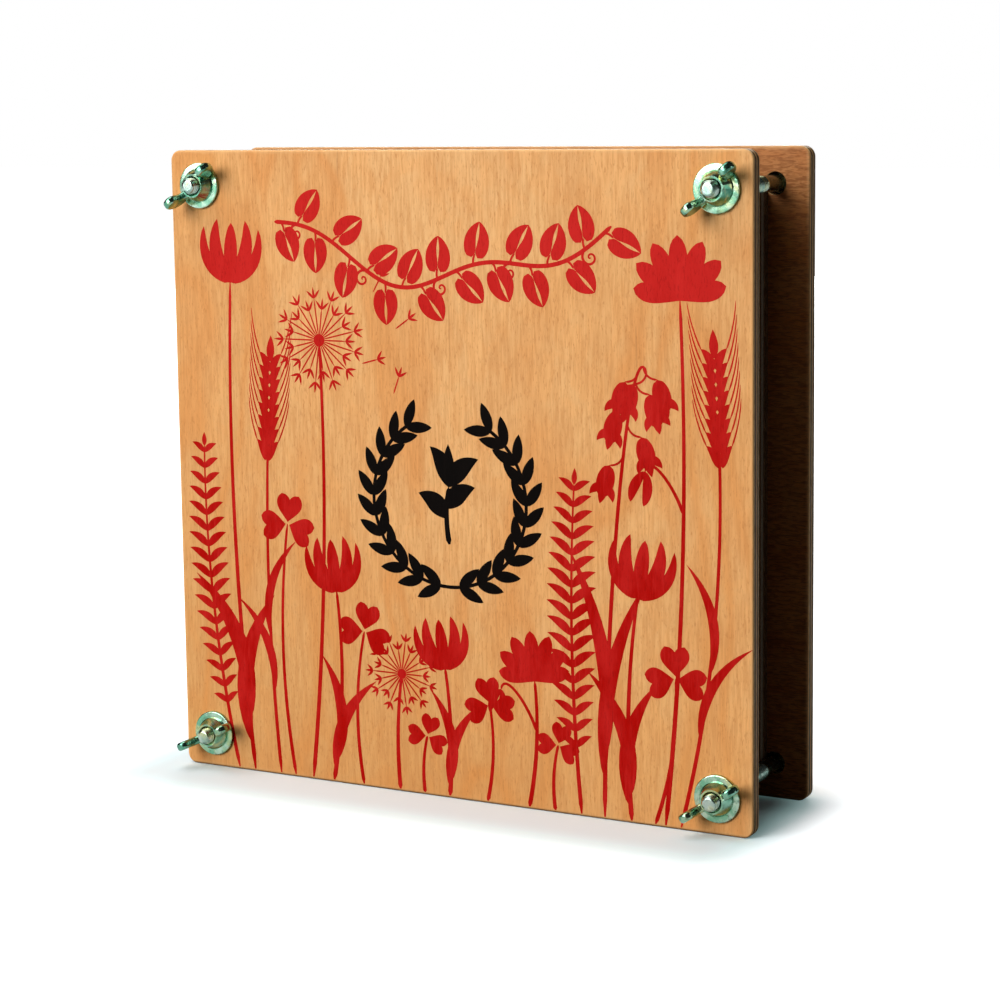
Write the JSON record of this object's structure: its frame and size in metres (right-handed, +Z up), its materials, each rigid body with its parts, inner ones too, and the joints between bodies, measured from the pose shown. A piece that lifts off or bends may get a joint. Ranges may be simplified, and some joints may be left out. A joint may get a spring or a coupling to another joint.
{
  "type": "flower press",
  "caption": "Square flower press: two plywood boards on corner bolts, drawn together by wing nuts over a stack of corrugated cards and blotting papers.",
  "frame": {"origin": "under the middle of the press, on the surface that it stands on", "axes": "+Z up, front with the wing nuts towards -Y, +X to the right seen from the front; bolts along Y"},
  "size_m": [0.18, 0.0552, 0.18],
  "materials": {
    "front_plywood": "sanded birch plywood, printed in red",
    "back_plywood": "sanded birch plywood",
    "bolt_steel": "zinc plated",
    "washer_zinc": "zinc plated, passivated",
    "nut_zinc": "bright zinc plated",
    "card": "corrugated brown card",
    "blotter": "absorbent, matt"
  },
  "bodies": {
    "back_board": {"back_board": "back_plywood", "bolt_top_left": "bolt_steel", "bolt_top_right": "bolt_steel", "bolt_bottom_left": "bolt_steel", "bolt_bottom_right": "bolt_steel"},
    "front_board": {"front_board": "front_plywood", "washer_top_left": "washer_zinc", "washer_top_right": "washer_zinc", "washer_bottom_left": "washer_zinc", "washer_bottom_right": "washer_zinc"},
    "wing_nut_top_left": {"wing_nut_top_left": "nut_zinc"},
    "wing_nut_top_right": {"wing_nut_top_right": "nut_zinc"},
    "wing_nut_bottom_left": {"wing_nut_bottom_left": "nut_zinc"},
    "wing_nut_bottom_right": {"wing_nut_bottom_right": "nut_zinc"},
    "card_1": {"card_1": "card"},
    "blotter_1": {"blotter_1": "blotter"},
    "blotter_2": {"blotter_2": "blotter"},
    "card_2": {"card_2": "card"},
    "blotter_3": {"blotter_3": "blotter"},
    "blotter_4": {"blotter_4": "blotter"},
    "card_3": {"card_3": "card"},
    "blotter_5": {"blotter_5": "blotter"},
    "blotter_6": {"blotter_6": "blotter"},
    "card_4": {"card_4": "card"},
    "blotter_7": {"blotter_7": "blotter"},
    "blotter_8": {"blotter_8": "blotter"},
    "card_5": {"card_5": "card"},
    "blotter_9": {"blotter_9": "blotter"},
    "blotter_10": {"blotter_10": "blotter"},
    "card_6": {"card_6": "card"}
  },
  "joints": [
    {"name": "press_travel", "type": "slide", "parent": "back_board", "child": "front_board", "axis": [0, 1, 0], "range_m": [-0.0032, 0.008]},
    {"name": "wing_nut_top_left_turn", "type": "hinge", "parent": "front_board", "child": "wing_nut_top_left", "pos_m": [-0.08, -0.01988, 0.17], "axis": [0, 1, 0], "range_deg": [-1440, 3600]},
    {"name": "wing_nut_top_right_turn", "type": "hinge", "parent": "front_board", "child": "wing_nut_top_right", "pos_m": [0.08, -0.01988, 0.17], "axis": [0, 1, 0], "range_deg": [-1440, 3600]},
    {"name": "wing_nut_bottom_left_turn", "type": "hinge", "parent": "front_board", "child": "wing_nut_bottom_left", "pos_m": [-0.08, -0.01988, 0.01], "axis": [0, 1, 0], "range_deg": [-1440, 3600]},
    {"name": "wing_nut_bottom_right_turn", "type": "hinge", "parent": "front_board", "child": "wing_nut_bottom_right", "pos_m": [0.08, -0.01988, 0.01], "axis": [0, 1, 0], "range_deg": [-1440, 3600]},
    {"name": "card_1_slide", "type": "slide", "parent": "back_board", "child": "card_1", "axis": [0, 1, 0], "range_m": [-0.00316, 0.0079]},
    {"name": "blotter_1_slide", "type": "slide", "parent": "back_board", "child": "blotter_1", "axis": [0, 1, 0], "range_m": [-0.00311, 0.00779]},
    {"name": "blotter_2_slide", "type": "slide", "parent": "back_board", "child": "blotter_2", "axis": [0, 1, 0], "range_m": [-0.00307, 0.00768]},
    {"name": "card_2_slide", "type": "slide", "parent": "back_board", "child": "card_2", "axis": [0, 1, 0], "range_m": [-0.00303, 0.00757]},
    {"name": "blotter_3_slide", "type": "slide", "parent": "back_board", "child": "blotter_3", "axis": [0, 1, 0], "range_m": [-0.00298, 0.00746]},
    {"name": "blotter_4_slide", "type": "slide", "parent": "back_board", "child": "blotter_4", "axis": [0, 1, 0], "range_m": [-0.00294, 0.00735]},
    {"name": "card_3_slide", "type": "slide", "parent": "back_board", "child": "card_3", "axis": [0, 1, 0], "range_m": [-0.0029, 0.00724]},
    {"name": "blotter_5_slide", "type": "slide", "parent": "back_board", "child": "blotter_5", "axis": [0, 1, 0], "range_m": [-0.00285, 0.00713]},
    {"name": "blotter_6_slide", "type": "slide", "parent": "back_board", "child": "blotter_6", "axis": [0, 1, 0], "range_m": [-0.00035, 0.00087]},
    {"name": "card_4_slide", "type": "slide", "parent": "back_board", "child": "card_4", "axis": [0, 1, 0], "range_m": [-0.0003, 0.00076]},
    {"name": "blotter_7_slide", "type": "slide", "parent": "back_board", "child": "blotter_7", "axis": [0, 1, 0], "range_m": [-0.00026076, 0.00065191]},
    {"name": "blotter_8_slide", "type": "slide", "parent": "back_board", "child": "blotter_8", "axis": [0, 1, 0], "range_m": [-0.0002173, 0.00054326]},
    {"name": "card_5_slide", "type": "slide", "parent": "back_board", "child": "card_5", "axis": [0, 1, 0], "range_m": [-0.00017384, 0.00043461]},
    {"name": "blotter_9_slide", "type": "slide", "parent": "back_board", "child": "blotter_9", "axis": [0, 1, 0], "range_m": [-0.00013038, 0.00032596]},
    {"name": "blotter_10_slide", "type": "slide", "parent": "back_board", "child": "blotter_10", "axis": [0, 1, 0], "range_m": [-0.000086921, 0.0002173]},
    {"name": "card_6_slide", "type": "slide", "parent": "back_board", "child": "card_6", "axis": [0, 1, 0], "range_m": [-0.000043461, 0.00010865]}
  ],
  "couplings": [
    {"joint": "wing_nut_top_left_turn", "follows": "press_travel", "rad_per_m": 7854},
    {"joint": "wing_nut_top_right_turn", "follows": "press_travel", "rad_per_m": 7854},
    {"joint": "wing_nut_bottom_left_turn", "follows": "press_travel", "rad_per_m": 7854},
    {"joint": "wing_nut_bottom_right_turn", "follows": "press_travel", "rad_per_m": 7854},
    {"joint": "card_1_slide", "follows": "press_travel", "ratio": 0.98642},
    {"joint": "blotter_1_slide", "follows": "press_travel", "ratio": 0.97285},
    {"joint": "blotter_2_slide", "follows": "press_travel", "ratio": 0.95928},
    {"joint": "card_2_slide", "follows": "press_travel", "ratio": 0.9457},
    {"joint": "blotter_3_slide", "follows": "press_travel", "ratio": 0.93213},
    {"joint": "blotter_4_slide", "follows": "press_travel", "ratio": 0.91855},
    {"joint": "card_3_slide", "follows": "press_travel", "ratio": 0.90498},
    {"joint": "blotter_5_slide", "follows": "press_travel", "ratio": 0.8914},
    {"joint": "blotter_6_slide", "follows": "press_travel", "ratio": 0.1086},
    {"joint": "card_4_slide", "follows": "press_travel", "ratio": 0.095023},
    {"joint": "blotter_7_slide", "follows": "press_travel", "ratio": 0.081448},
    {"joint": "blotter_8_slide", "follows": "press_travel", "ratio": 0.067873},
    {"joint": "card_5_slide", "follows": "press_travel", "ratio": 0.054299},
    {"joint": "blotter_9_slide", "follows": "press_travel", "ratio": 0.040724},
    {"joint": "blotter_10_slide", "follows": "press_travel", "ratio": 0.027149},
    {"joint": "card_6_slide", "follows": "press_travel", "ratio": 0.013575}
  ]
}
